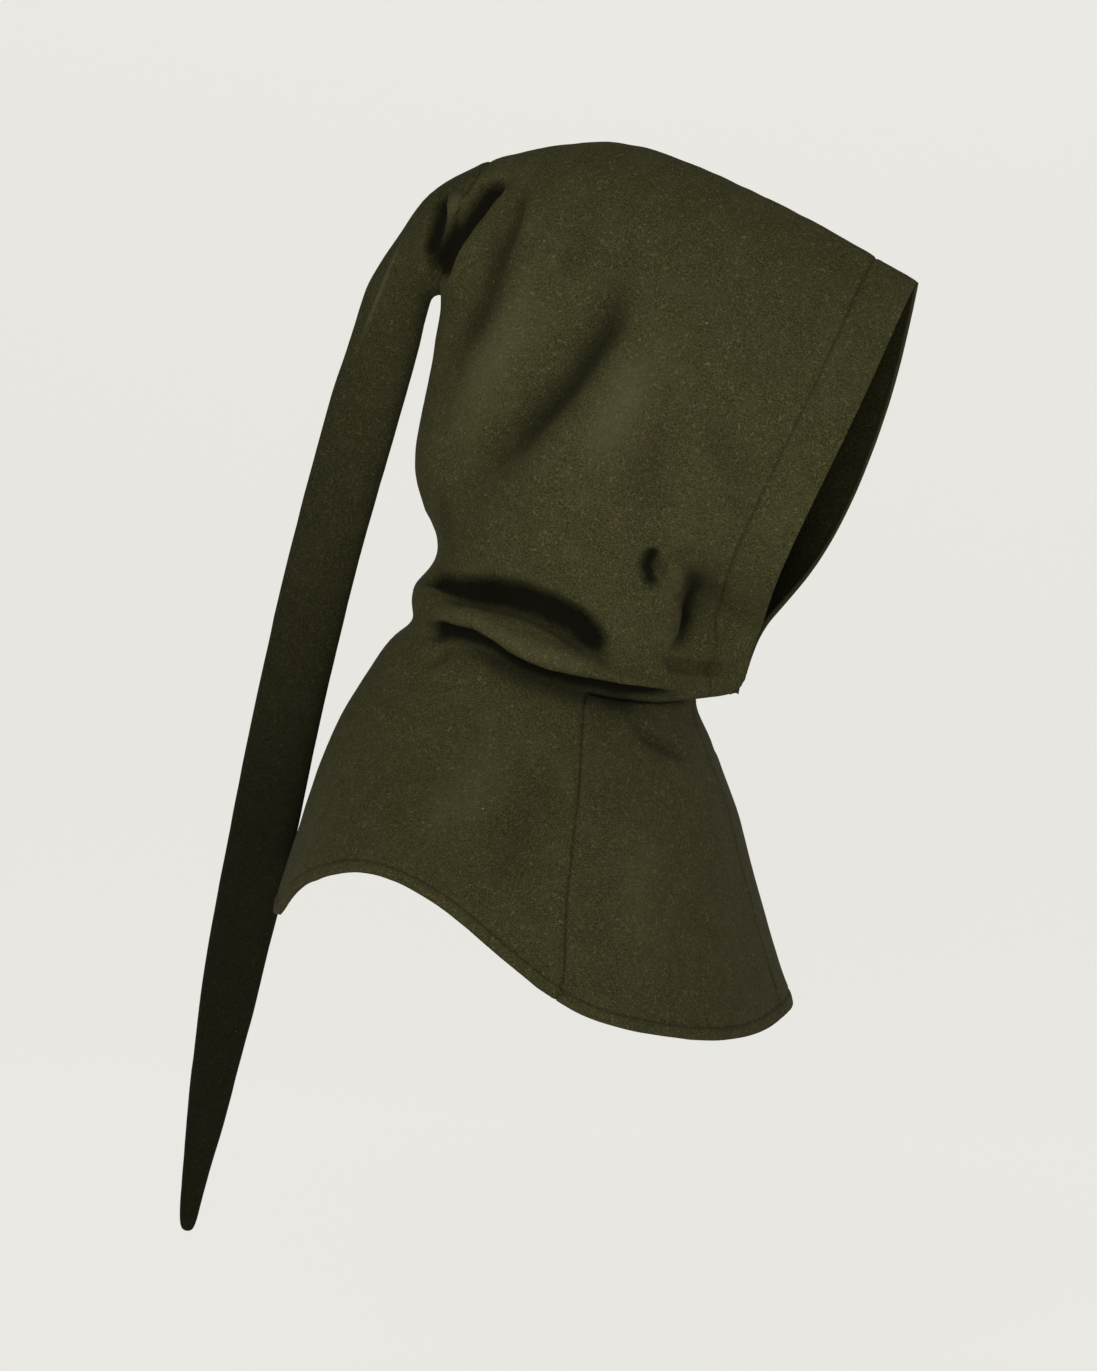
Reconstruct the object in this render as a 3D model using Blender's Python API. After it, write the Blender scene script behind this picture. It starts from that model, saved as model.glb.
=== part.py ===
# Liripipe hood of thick fulled wool, as it hangs when it is worn.
# Metres. +X is the way the face opening looks, +Y the wearer's left, +Z up.
# The origin is the crown, where the cloth rests on top of the head.

import math

import bmesh
import bpy
import numpy as np
from mathutils import Vector

for left_over in list(bpy.data.objects):
    bpy.data.objects.remove(left_over, do_unlink=True)

# Named sizes
HEAD_DEPTH = 0.290        # peak of the face opening to the back corner
HEAD_HEIGHT = 0.329       # crown seam to the underside of the chin
HEAD_WIDTH = 0.176        # over the ears
CAPE_DEPTH = 0.307        # front hem to back hem
CAPE_WIDTH = 0.380        # hem over one shoulder to hem over the other
CAPE_DROP = 0.187         # underside of the chin to the lowest front hem
PIPE_DROP = 0.671         # crown down to the end of the liripipe
PIPE_REACH = 0.267        # crown back to the end of the liripipe
PIPE_WIDTH = 0.046        # liripipe laid flat, at its even part
CLOTH = 0.0018            # one layer of the wool
SEAM_GAP = 0.0003         # clear between two sewn pieces
FACE_HEM = 0.028          # turning round the face opening
CAPE_HEM = 0.007          # turning round the cape

# Where the named sizes sit about the origin
CROWN_RISE = 0.003
CHIN_LEVEL = CROWN_RISE - HEAD_HEIGHT

# The side view of the head panel is bounded by four lines, all in shares of
# HEAD_DEPTH (x) and HEAD_HEIGHT (z): the top seam from the peak to the
# liripipe, the back seam upwards from the nape, the face edge, which is nearly
# straight, and the hollow above the neck roll, which is the first neck ring.
TOP_SEAM = [(0.655, -0.243), (0.504, -0.168), (0.331, -0.087), (0.166, -0.024),
            (0.083, -0.001), (0.000, 0.009), (-0.114, 0.001), (-0.214, -0.018)]
BACK_SEAM = [(-0.362, -0.757), (-0.349, -0.716), (-0.388, -0.636),
             (-0.400, -0.555), (-0.366, -0.401), (-0.340, -0.267)]
CHIN_CORNER = (0.300, -0.973)
# The face edge: up is the share of the way from the chin corner to the peak,
# half_width a share of half HEAD_WIDTH, ahead the share of HEAD_DEPTH that
# the edge stands before the straight line between the two.
FACE_EDGE = [
    {"up": 0.00, "half_width": 0.045, "ahead": 0.000},
    {"up": 0.08, "half_width": 0.050, "ahead": -0.009},
    {"up": 0.14, "half_width": 0.070, "ahead": -0.010},
    {"up": 0.19, "half_width": 0.260, "ahead": -0.004},
    {"up": 0.24, "half_width": 0.500, "ahead": 0.004},
    {"up": 0.32, "half_width": 0.725, "ahead": 0.012},
    {"up": 0.40, "half_width": 0.800, "ahead": 0.017},
    {"up": 0.48, "half_width": 0.800, "ahead": 0.020},
    {"up": 0.55, "half_width": 0.755, "ahead": 0.021},
    {"up": 0.63, "half_width": 0.680, "ahead": 0.021},
    {"up": 0.72, "half_width": 0.570, "ahead": 0.019},
    {"up": 0.82, "half_width": 0.415, "ahead": 0.014},
    {"up": 0.92, "half_width": 0.235, "ahead": 0.005},
    {"up": 1.00, "half_width": 0.030, "ahead": 0.000},
]

# Neck rings round the hood, from the hollow above the roll down to the neck
# seam: x and z in shares of HEAD_DEPTH and HEAD_HEIGHT, z given at RUN_STOPS,
# the shares of the way from the front of the ring to its back.
RUN_STOPS = (0.0, 0.1, 0.2, 0.3, 0.4, 0.5, 0.6, 0.8, 1.0)
NECK_COLUMNS = ("front_x", "back_x", "half_width", "front_pinch", "steps")
NECK_RINGS = [
    (0.300, -0.362, 0.930, 2.20, 1),
    (0.294, -0.387, 1.030, 2.00, 2),
    (0.277, -0.392, 1.090, 1.75, 2),
    (0.243, -0.385, 1.050, 1.45, 1),
    (0.200, -0.398, 0.940, 1.10, 1),
]
NECK_LEVELS = [
    (-0.973, -0.946, -0.924, -0.900, -0.852, -0.803, -0.783, -0.777, -0.757),
    (-0.977, -0.962, -0.942, -0.918, -0.880, -0.834, -0.808, -0.797, -0.780),
    (-0.982, -0.975, -0.951, -0.928, -0.908, -0.888, -0.862, -0.838, -0.815),
    (-0.986, -0.984, -0.968, -0.950, -0.934, -0.918, -0.892, -0.860, -0.846),
    (-0.988, -0.988, -0.978, -0.962, -0.946, -0.928, -0.904, -0.876, -0.864),
]

# Cape rings: x in shares of CAPE_DEPTH, z in shares of CAPE_DROP below the
# chin, half_width in shares of half CAPE_WIDTH, lift the share of HEM_LINE.
CAPE_COLUMNS = ("front_x", "front_z", "back_x", "back_z", "half_width",
                "front_pinch", "lift", "layers", "steps")
CAPE_RINGS = [
    (0.186, 0.060, -0.416, -0.185, 0.465, 0.88, 0.00, 1, 1),
    (0.214, 0.150, -0.450, -0.090, 0.535, 0.70, 0.00, 1, 2),
    (0.254, 0.330, -0.508, 0.060, 0.660, 0.78, 0.03, 1, 2),
    (0.281, 0.505, -0.550, 0.220, 0.775, 0.90, 0.22, 1, 2),
    (0.310, 0.680, -0.580, 0.395, 0.880, 0.93, 0.50, 1, 1),
    (0.341, 0.850, -0.602, 0.520, 0.950, 0.95, 0.78, 1, 1),
    (0.362, 0.955, -0.612, 0.580, 0.985, 0.95, 0.94, 1, 1),
    (0.364, 1.0 - CAPE_HEM / CAPE_DROP, -0.613, 0.584, 0.988, 0.95, 0.95, 2, 1),
    (0.373, 1.000, -0.618, 0.612, 1.000, 0.95, 1.00, 2, 0),
]
# How the cape hem leaves the straight line from its front to its back: around
# is the share of the way round, lift the share of CAPE_DROP that it rises,
# flare the share of CAPE_DEPTH that it stands out. The last dip is the flute
# that curls out beside the liripipe.
HEM_LINE = [
    {"around": 0.00, "lift": 0.000, "flare": 0.000},
    {"around": 0.10, "lift": -0.020, "flare": 0.000},
    {"around": 0.17, "lift": -0.018, "flare": 0.000},
    {"around": 0.25, "lift": 0.000, "flare": 0.000},
    {"around": 0.30, "lift": 0.012, "flare": 0.000},
    {"around": 0.34, "lift": 0.032, "flare": 0.000},
    {"around": 0.38, "lift": 0.070, "flare": 0.000},
    {"around": 0.42, "lift": 0.140, "flare": 0.000},
    {"around": 0.46, "lift": 0.207, "flare": 0.000},
    {"around": 0.50, "lift": 0.266, "flare": 0.000},
    {"around": 0.56, "lift": 0.306, "flare": 0.000},
    {"around": 0.61, "lift": 0.298, "flare": 0.000},
    {"around": 0.66, "lift": 0.252, "flare": 0.000},
    {"around": 0.71, "lift": 0.187, "flare": 0.000},
    {"around": 0.75, "lift": 0.134, "flare": 0.000},
    {"around": 0.79, "lift": 0.060, "flare": 0.004},
    {"around": 0.83, "lift": -0.044, "flare": 0.014},
    {"around": 0.88, "lift": -0.020, "flare": 0.010},
    {"around": 0.93, "lift": 0.000, "flare": 0.000},
    {"around": 1.00, "lift": 0.000, "flare": 0.000},
]

# Mouth of the liripipe in the back corner of the hood
MOUTH_TOP = TOP_SEAM[-1]
MOUTH_FOOT = BACK_SEAM[-1]
MOUTH_HALF_WIDTH = 0.34           # share of half HEAD_WIDTH
MOUTH_FROM = 0.60                 # share of the way up where its foot lies

# Soft folds. Path points are side-view shares of HEAD_DEPTH and HEAD_HEIGHT;
# rise (out) or sink (minus) and breadth are shares of half HEAD_WIDTH.
FOLDS = [
    {"where": "head", "rise": -0.10, "breadth": 0.26,
     "path": ((0.02, -0.27), (-0.07, -0.42), (-0.20, -0.56), (-0.33, -0.70))},
    {"where": "head", "rise": -0.07, "breadth": 0.22,
     "path": ((0.14, -0.45), (0.06, -0.62), (0.03, -0.72))},
    {"where": "head", "rise": 0.05, "breadth": 0.25,
     "path": ((0.08, -0.38), (-0.02, -0.55), (-0.05, -0.68))},
    {"where": "head", "rise": -0.07, "breadth": 0.15,
     "path": ((-0.25, -0.775), (-0.14, -0.78), (-0.06, -0.79), (0.01, -0.82),
              (0.08, -0.875))},
    {"where": "head", "rise": -0.07, "breadth": 0.12,
     "path": ((0.145, -0.735), (0.14, -0.775))},
    {"where": "head", "rise": 0.04, "breadth": 0.12,
     "path": ((0.175, -0.70), (0.19, -0.76))},
    {"where": "head", "rise": -0.08, "breadth": 0.12,
     "path": ((0.235, -0.76), (0.255, -0.80), (0.245, -0.86))},
    {"where": "head", "rise": -0.06, "breadth": 0.12,
     "path": ((-0.14, -0.05), (-0.20, -0.16), (-0.26, -0.26))},
    {"where": "cape", "rise": -0.05, "breadth": 0.12,
     "path": ((0.07, -1.03), (0.12, -1.08), (0.17, -1.10), (0.24, -1.16))},
]

# Liripipe rings: centre in shares of PIPE_REACH and PIPE_DROP, half_breadth
# and half_thickness in shares of PIPE_WIDTH, lean of the ring in degrees.
PIPE_COLUMNS = ("centre_x", "centre_z", "half_breadth", "half_thickness",
                "lean")
PIPE_RINGS = [
    (-0.353, -0.0768, 0.804, 0.660, 100.0),
    (-0.394, -0.0870, 0.652, 0.570, 84.0),
    (-0.4206, -0.1025, 0.478, 0.475, 66.0),
    (-0.4393, -0.1116, 0.435, 0.425, 50.0),
    (-0.4536, -0.1204, 0.424, 0.385, 36.0),
    (-0.4685, -0.1313, 0.446, 0.350, 24.0),
    (-0.4809, -0.1459, 0.456, 0.325, 17.0),
    (-0.4935, -0.164, 0.468, 0.300, 16.5),
    (-0.515, -0.192, 0.485, 0.280, 17.0),
    (-0.543, -0.224, 0.495, 0.270, 16.5),
    (-0.584, -0.277, 0.500, 0.260, 16.0),
    (-0.623, -0.331, 0.492, 0.255, 15.5),
    (-0.661, -0.386, 0.485, 0.250, 15.0),
    (-0.698, -0.441, 0.480, 0.250, 14.0),
    (-0.731, -0.496, 0.480, 0.250, 13.5),
    (-0.762, -0.551, 0.480, 0.250, 13.5),
    (-0.795, -0.610, 0.475, 0.250, 13.5),
    (-0.827, -0.664, 0.462, 0.245, 13.5),
    (-0.853, -0.707, 0.445, 0.235, 13.0),
    (-0.879, -0.755, 0.415, 0.225, 13.0),
    (-0.903, -0.802, 0.370, 0.205, 12.5),
    (-0.927, -0.848, 0.320, 0.185, 12.0),
    (-0.951, -0.896, 0.262, 0.160, 11.5),
    (-0.974, -0.940, 0.195, 0.130, 11.0),
    (-0.990, -0.976, 0.142, 0.110, 11.0),
    (-0.998, -0.995, 0.105, 0.085, 11.0),
]
PIPE_SIDES = 16

# Rows of the head panel, as shares of the way up from the hollow to the top
# seam. The first ones go down the mouth of the liripipe, half its sides each.
MOUTH_ROWS = PIPE_SIDES // 2
HEAD_ROWS = (0.55, 0.49, 0.43, 0.37, 0.31, 0.26, 0.215, 0.175, 0.14, 0.105,
             0.07, 0.035)
COLUMNS = 24                  # quads from the face or front seam to the back
HEM_COLUMNS = (0.0, 0.21, 0.50, 1.0, 1.035)   # shares of FACE_HEM from the edge
SIDE_SEAM_COLUMN = 9          # column that follows the side seam of the cape
SIDE_SEAM_AT_NECK = 0.325     # share of the way round
SIDE_SEAM_AT_HEM = 0.375
SEAM_RIDGE = 0.0022           # half thickness of the pressed seam ridge


def smooth(value):
    value = min(max(value, 0.0), 1.0)
    return value * value * (3.0 - 2.0 * value)


def curve_between(before, start, end, after, share):
    """Point on the smooth curve through four numbers, between the middle two."""
    a = 2.0 * start
    b = end - before
    c = 2.0 * before - 5.0 * start + 4.0 * end - after
    d = 3.0 * start - before - 3.0 * end + after
    return 0.5 * (a + b * share + c * share ** 2 + d * share ** 3)


def table_value(table, key, value, position):
    keys = [row[key] for row in table]
    values = [row[value] for row in table]
    return float(np.interp(position, keys, values))


def side_line(points, share):
    """A place on the smooth line through side-view points, by its length."""
    sized = [np.array((x * HEAD_DEPTH, z * HEAD_HEIGHT)) for x, z in points]
    ends = np.cumsum([0.0] + [float(np.linalg.norm(b - a))
                              for a, b in zip(sized, sized[1:])])
    ends /= ends[-1]
    piece = int(np.clip(np.searchsorted(ends, share, side="right") - 1,
                        0, len(sized) - 2))
    inside = (share - ends[piece]) / (ends[piece + 1] - ends[piece])
    before = sized[piece - 1] if piece else 2 * sized[0] - sized[1]
    after = (sized[piece + 2] if piece + 2 < len(sized)
             else 2 * sized[-1] - sized[-2])
    return curve_between(before, sized[piece], sized[piece + 1], after, inside)


def mouth_point(along):
    """A point of the liripipe's mouth from its top to its foot, half its width."""
    top = np.array(MOUTH_TOP) * (HEAD_DEPTH, HEAD_HEIGHT)
    foot = np.array(MOUTH_FOOT) * (HEAD_DEPTH, HEAD_HEIGHT)
    half = MOUTH_HALF_WIDTH * HEAD_WIDTH / 2
    return top + (foot - top) * along, half * math.sqrt(
        max(0.0, 1.0 - (1.0 - 2.0 * along) ** 2))


def neck_line(run):
    """The hollow above the roll in the side view, from the chin to the back."""
    ring = dict(zip(NECK_COLUMNS, NECK_RINGS[0]))
    x = ring["front_x"] + (ring["back_x"] - ring["front_x"]) * run
    z = float(np.interp(run, RUN_STOPS, NECK_LEVELS[0]))
    return np.array((x * HEAD_DEPTH, z * HEAD_HEIGHT))


def ring_width(run, half_width, front_pinch):
    """Half width of a ring at a share of its run from front to back."""
    turn = math.acos(1.0 - 2.0 * run)
    pinch = front_pinch + (1.0 - front_pinch) * min(1.0, turn / (math.pi / 2))
    return half_width * math.sin(turn) ** pinch


def column_runs(length):
    """Where the columns of a head row lie: the turning first, then evenly."""
    runs = [share * FACE_HEM / length for share in HEM_COLUMNS]
    rest = COLUMNS - len(runs) + 1
    start = runs[-1]
    for step in range(1, rest + 1):
        share = 1.0 - (1.0 - step / rest) ** 1.15
        runs.append(start + (1.0 - start) * share)
    return runs


def head_row(up):
    """The points of the head panel at one share of the way up."""
    peak = np.array(TOP_SEAM[0]) * (HEAD_DEPTH, HEAD_HEIGHT)
    chin = np.array(CHIN_CORNER) * (HEAD_DEPTH, HEAD_HEIGHT)
    nape = neck_line(1.0)
    corner = side_line(TOP_SEAM, 1.0)
    edge = chin + (peak - chin) * up
    edge = edge + np.array((0.92, -0.39)) * HEAD_DEPTH * table_value(
        FACE_EDGE, "up", "ahead", up)
    end_width = 0.0
    if up >= MOUTH_FROM:
        back, end_width = mouth_point((1.0 - up) / (1.0 - MOUTH_FROM))
    else:
        back = side_line(BACK_SEAM, up / MOUTH_FROM)
    length = float(np.linalg.norm(back - edge))
    face = table_value(FACE_EDGE, "up", "half_width", up) * HEAD_WIDTH / 2
    neck = dict(zip(NECK_COLUMNS, NECK_RINGS[0]))
    body = HEAD_WIDTH / 2 * (1.0 - up ** 4) ** 0.75
    body *= neck["half_width"] + (1.0 - neck["half_width"]) * smooth(up / 0.35)
    points = []
    for run in column_runs(length):
        place = (1 - up) * neck_line(run) + up * side_line(TOP_SEAM, run)
        place += (1 - run) ** 1.5 * (edge - (1 - up) * chin - up * peak)
        place += run ** 3 * (back - (1 - up) * nape - up * corner)
        width = face + (body - face) * math.sin(math.pi / 2 * min(1.0, run / 0.52))
        width *= (1.0 - run ** 4) ** 0.62
        mouth = end_width * smooth((run - 0.25) / 0.75)
        width = (width ** 1.5 + mouth ** 1.5) ** (1 / 1.5)
        if up < 0.2:
            ring = ring_width(run, neck["half_width"] * HEAD_WIDTH / 2,
                              neck["front_pinch"])
            width = width + (ring - width) * (1.0 - smooth(up / 0.2))
        points.append([place[0], -width, place[1]])
    return points


def low_rings():
    """Neck rings and cape rings in metres, from the hollow to the cape hem."""
    rings = []
    for sizes, levels in zip(NECK_RINGS, NECK_LEVELS):
        ring = dict(zip(NECK_COLUMNS, sizes))
        ring["front_x"] *= HEAD_DEPTH
        ring["back_x"] *= HEAD_DEPTH
        ring["half_width"] *= HEAD_WIDTH / 2
        ring["levels"] = np.array(levels) * HEAD_HEIGHT
        ring["lift"], ring["layers"] = 0.0, 1
        rings.append(ring)
    for sizes in CAPE_RINGS:
        ring = dict(zip(CAPE_COLUMNS, sizes))
        ring["front_x"] *= CAPE_DEPTH
        ring["back_x"] *= CAPE_DEPTH
        ring["half_width"] *= CAPE_WIDTH / 2
        front = CHIN_LEVEL - ring["front_z"] * CAPE_DROP
        back = CHIN_LEVEL - ring["back_z"] * CAPE_DROP
        ring["levels"] = front + (back - front) * np.array(RUN_STOPS)
        rings.append(ring)
    return rings


def low_row(ring, place, cape_share):
    """The points of one neck or cape ring."""
    length = ring["front_x"] - ring["back_x"]
    by_run = column_runs(length)
    seam_from = SIDE_SEAM_COLUMN / COLUMNS
    seam_to = (SIDE_SEAM_AT_NECK
               + (SIDE_SEAM_AT_HEM - SIDE_SEAM_AT_NECK) * cape_share)
    blend = smooth(place / (len(NECK_RINGS) + 0.5))
    points = []
    for column in range(COLUMNS + 1):
        share = column / COLUMNS
        if share < seam_from:
            share = share * seam_to / seam_from
        else:
            share = seam_to + (share - seam_from) * (1 - seam_to) / (1 - seam_from)
        even = (1.0 - math.cos(math.pi * share)) / 2
        run = min(1.0, by_run[column] + (even - by_run[column]) * blend)
        around = math.acos(1.0 - 2.0 * run) / math.pi
        x = ring["front_x"] + (ring["back_x"] - ring["front_x"]) * run
        z = float(np.interp(run, RUN_STOPS, ring["levels"]))
        z += ring["lift"] * CAPE_DROP * table_value(HEM_LINE, "around", "lift", around)
        width = ring_width(run, ring["half_width"], ring["front_pinch"])
        flare = ring["lift"] ** 2 * CAPE_DEPTH * table_value(
            HEM_LINE, "around", "flare", around)
        x += flare * math.cos(math.pi * around)
        width += flare * math.sin(math.pi * around)
        points.append([x, -width, z])
    return points


def mesh_rows():
    """Every row of the mesh: its points, layers of cloth and kind."""
    rows = []
    ups = [1.0 - (1.0 - MOUTH_FROM) * (1.0 - math.cos(math.pi * k / MOUTH_ROWS)) / 2
           for k in range(MOUTH_ROWS + 1)] + list(HEAD_ROWS)
    for number, up in enumerate(ups):
        rows.append({"points": head_row(up), "kind": "head", "layers": 1,
                     "top": number == 0, "mouth": 0 < number < MOUTH_ROWS})
    rings = low_rings()
    for index, ring in enumerate(rings):
        for step in range(max(ring["steps"], 1)):
            picks = [rings[min(max(index + k, 0), len(rings) - 1)]
                     for k in (-1, 0, 1, 2)]
            share = step / max(ring["steps"], 1)
            mixed = {key: curve_between(*(pick[key] for pick in picks), share)
                     for key in ("front_x", "back_x", "half_width", "front_pinch",
                                 "levels", "lift")}
            place = index + share
            cape_share = max(0.0, (place - len(NECK_RINGS) + 1) / len(CAPE_RINGS))
            kind = "cape" if place >= len(NECK_RINGS) - 1 else "neck"
            rows.append({"points": low_row(mixed, place, cape_share), "kind": kind,
                         "layers": ring["layers"], "top": False, "mouth": False})
    for row in rows:
        for column, point in enumerate(row["points"]):
            on_seam = row["top"] or (column == 0 and row["kind"] != "head") or (
                column == COLUMNS and not row["mouth"])
            point[1] = (-SEAM_GAP / 2 if on_seam
                        else -math.hypot(point[1], SEAM_RIDGE))
    return rows


def fold_height(x, z, on_cape):
    """How far the folds push the cloth out at a place in the side view."""
    total = 0.0
    for fold in FOLDS:
        if (fold["where"] == "cape") != on_cape:
            continue
        path = [np.array((px * HEAD_DEPTH, pz * HEAD_HEIGHT))
                for px, pz in fold["path"]]
        nearest, run, length = 1.0, 0.0, 0.0
        here = np.array((x, z))
        for start, end in zip(path, path[1:]):
            piece = end - start
            size = float(np.linalg.norm(piece))
            share = min(max(float(np.dot(here - start, piece)) / size ** 2, 0.0), 1.0)
            away = float(np.linalg.norm(here - start - piece * share))
            if away < nearest:
                nearest, run = away, length + size * share
            length += size
        breadth = fold["breadth"] * HEAD_WIDTH / 2
        ends = smooth((run + breadth) / (2 * breadth)) * smooth(
            (length - run + breadth) / (2 * breadth))
        total += (fold["rise"] * HEAD_WIDTH / 2 * ends
                  * math.exp(-(nearest / breadth) ** 2))
    return total


def grid_normals(grid, rows):
    """Outward direction at every grid point of the right half."""
    mirror = np.array((1.0, -1.0, 1.0))
    wide = np.concatenate((grid[:, 1:2] * mirror, grid, grid[:, -2:-1] * mirror), axis=1)
    for index, row in enumerate(rows):
        if row["mouth"]:
            wide[index, -1] = 2 * grid[index, -1] - grid[index, -2]
        if row["kind"] == "head":
            wide[index, 0] = 2 * grid[index, 0] - grid[index, 1]
    tall = np.concatenate((grid[1:2] * mirror, grid, 2 * grid[-1:] - grid[-2:-1]), axis=0)
    normals = np.cross(tall[2:] - tall[:-2], wide[:, 2:] - wide[:, :-2])
    sizes = np.linalg.norm(normals, axis=2, keepdims=True)
    normals = normals / np.maximum(sizes, 1e-12)
    if normals[len(rows) // 3, COLUMNS // 2, 1] > 0:
        normals = -normals
    return normals


def new_object(name, vertices, faces, colour):
    mesh = bpy.data.meshes.new(name)
    mesh.from_pydata([tuple(v) for v in vertices], [], faces)
    obj = bpy.data.objects.new(name, mesh)
    bpy.context.scene.collection.objects.link(obj)
    work = bmesh.new()
    work.from_mesh(mesh)
    bmesh.ops.recalc_face_normals(work, faces=work.faces)
    work.to_mesh(mesh)
    work.free()
    mesh.polygons.foreach_set("use_smooth", [True] * len(mesh.polygons))
    mesh.update()
    material = bpy.data.materials.new(name + "_wool")
    material.use_nodes = True
    shader = material.node_tree.nodes["Principled BSDF"]
    shader.inputs["Base Color"].default_value = colour
    shader.inputs["Roughness"].default_value = 0.95
    mesh.materials.append(material)
    return obj


def cloth_panel(name, outer, inner, cells, all_cells, side, colour):
    """A closed double-skinned panel over some of the grid's cells."""
    centres = {cell: outer[cell[0]:cell[0] + 2, cell[1]:cell[1] + 2].mean(axis=(0, 1))
               for cell in all_cells}
    numbers, vertices = {}, []
    for row, column in sorted({(r + a, c + b) for r, c in cells
                               for a in (0, 1) for b in (0, 1)}):
        touching = [(row - a, column - b) for a in (0, 1) for b in (0, 1)
                    if (row - a, column - b) in all_cells]
        own = [cell for cell in touching if cell in cells]
        shift = np.zeros(3)
        if len(own) < len(touching):
            shift = (np.mean([centres[cell] for cell in own], axis=0)
                     - np.mean([centres[cell] for cell in touching], axis=0))
            shift[1] = 0.0 if column == 0 else shift[1]
            shift *= SEAM_GAP * 0.6 / max(np.linalg.norm(shift), 1e-9)
        numbers[(row, column)] = len(vertices) // 2
        for skin in (outer, inner):
            place = skin[row, column] + shift
            place[1] = min(place[1], -SEAM_GAP / 2)
            place[1] *= side
            vertices.append(place)
    faces, edges = [], {}
    for row, column in cells:
        corners = [numbers[(row, column)], numbers[(row, column + 1)],
                   numbers[(row + 1, column + 1)], numbers[(row + 1, column)]]
        faces.append([2 * corner for corner in corners])
        faces.append([2 * corner + 1 for corner in reversed(corners)])
        for start, end in zip(corners, corners[1:] + corners[:1]):
            edges[(start, end)] = edges.get((start, end), 0) + 1
    for start, end in edges:
        if (end, start) not in edges:
            faces.append([2 * end, 2 * start, 2 * start + 1, 2 * end + 1])
    return new_object(name, vertices, faces, colour)


def liripipe(colour):
    rings = [dict(zip(PIPE_COLUMNS, row)) for row in PIPE_RINGS]
    top_x, top_z = mouth_point(0.0)[0]
    foot_x, foot_z = mouth_point(1.0)[0]
    mouth_lean = math.degrees(math.atan2(top_x - foot_x, top_z - foot_z)) + 90.0
    back = Vector((-(top_z - foot_z), 0.0, top_x - foot_x)).normalized()
    loops = [{"x": (top_x + foot_x) / 2 + back.x * SEAM_GAP,
              "z": (top_z + foot_z) / 2 + back.z * SEAM_GAP,
              "breadth": math.hypot(top_x - foot_x, top_z - foot_z) / 2,
              "thick": MOUTH_HALF_WIDTH * HEAD_WIDTH / 2,
              "lean": mouth_lean}]
    for ring in rings:
        loops.append({"x": ring["centre_x"] * PIPE_REACH,
                      "z": ring["centre_z"] * PIPE_DROP,
                      "breadth": ring["half_breadth"] * PIPE_WIDTH,
                      "thick": ring["half_thickness"] * PIPE_WIDTH,
                      "lean": ring["lean"]})

    def loop_points(loop, inset, slide):
        lean = math.radians(loop["lean"])
        axis = Vector((math.cos(lean), 0.0, -math.sin(lean)))
        down = Vector((-math.sin(lean), 0.0, -math.cos(lean)))
        centre = Vector((loop["x"], 0.0, loop["z"])) + down * slide
        points = []
        for side in range(PIPE_SIDES):
            turn = 2 * math.pi * side / PIPE_SIDES
            points.append(centre + axis * ((loop["breadth"] - inset) * math.cos(turn))
                          + Vector((0, 1, 0)) * ((loop["thick"] - inset) * math.sin(turn)))
        return points

    vertices, faces = [], []

    def add_skin(inset, count, flip):
        start = len(vertices)
        for loop in loops[:count]:
            vertices.extend(loop_points(loop, inset, 0.0))
        for ring in range(count - 1):
            for side in range(PIPE_SIDES):
                after = (side + 1) % PIPE_SIDES
                a = start + ring * PIPE_SIDES + side
                b = start + ring * PIPE_SIDES + after
                face = [a, b, b + PIPE_SIDES, a + PIPE_SIDES]
                faces.append(face[::-1] if flip else face)
        tip = loops[count - 1]
        lean = math.radians(tip["lean"])
        down = Vector((-math.sin(lean), 0.0, -math.cos(lean)))
        vertices.append(Vector((tip["x"], 0.0, tip["z"]))
                        + down * max(tip["thick"] - inset, CLOTH / 2) * 0.6)
        last = start + (count - 1) * PIPE_SIDES
        for side in range(PIPE_SIDES):
            face = [last + side, last + (side + 1) % PIPE_SIDES, len(vertices) - 1]
            faces.append(face[::-1] if flip else face)
        return start

    outside = add_skin(0.0, len(loops), False)
    inside = add_skin(CLOTH, len(loops) - 1, True)
    for side in range(PIPE_SIDES):
        after = (side + 1) % PIPE_SIDES
        faces.append([outside + side, inside + side, inside + after, outside + after])
    return new_object("liripipe", vertices, faces, colour)


rows = mesh_rows()
cape_start = next(i for i, row in enumerate(rows) if row["kind"] == "cape")
last_row = len(rows) - 1
base = np.array([row["points"] for row in rows])
normals = grid_normals(base, rows)
outer = base.copy()
for i in range(1, last_row + 1):
    for j in range(1, COLUMNS):
        outer[i, j] += normals[i, j] * fold_height(
            base[i, j, 0], base[i, j, 2], rows[i]["kind"] == "cape")
normals = grid_normals(outer, rows)
layers = np.array([[row["layers"]] * (COLUMNS + 1) for row in rows])
for i, row in enumerate(rows):
    if row["kind"] == "head":
        layers[i, :len(HEM_COLUMNS) - 1] = 2
inner = outer - normals * (CLOTH * layers)[:, :, None]
inner[:, :, 1] = np.minimum(inner[:, :, 1], -SEAM_GAP / 2)

all_cells = {(i, j) for i in range(last_row) for j in range(COLUMNS)}
front_cells = {(i, j) for i, j in all_cells
               if i >= cape_start and j < SIDE_SEAM_COLUMN}
main_cells = all_cells - front_cells

for label, side in (("right", 1), ("left", -1)):
    cloth_panel("hood_" + label, outer, inner, main_cells, all_cells, side,
                (0.043, 0.040, 0.019, 1.0))
    cloth_panel("front_cape_" + label, outer, inner, front_cells, all_cells, side,
                (0.045, 0.041, 0.020, 1.0))
liripipe((0.030, 0.028, 0.014, 1.0))
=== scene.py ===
# Liripipe hood of thick fulled wool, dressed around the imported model.
# The outer skins of its five pieces are joined, folded as worn, and cut apart again.

import bpy, bmesh, math
import numpy as np
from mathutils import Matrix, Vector, noise
from mathutils.bvhtree import BVHTree
from mathutils.kdtree import KDTree


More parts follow.
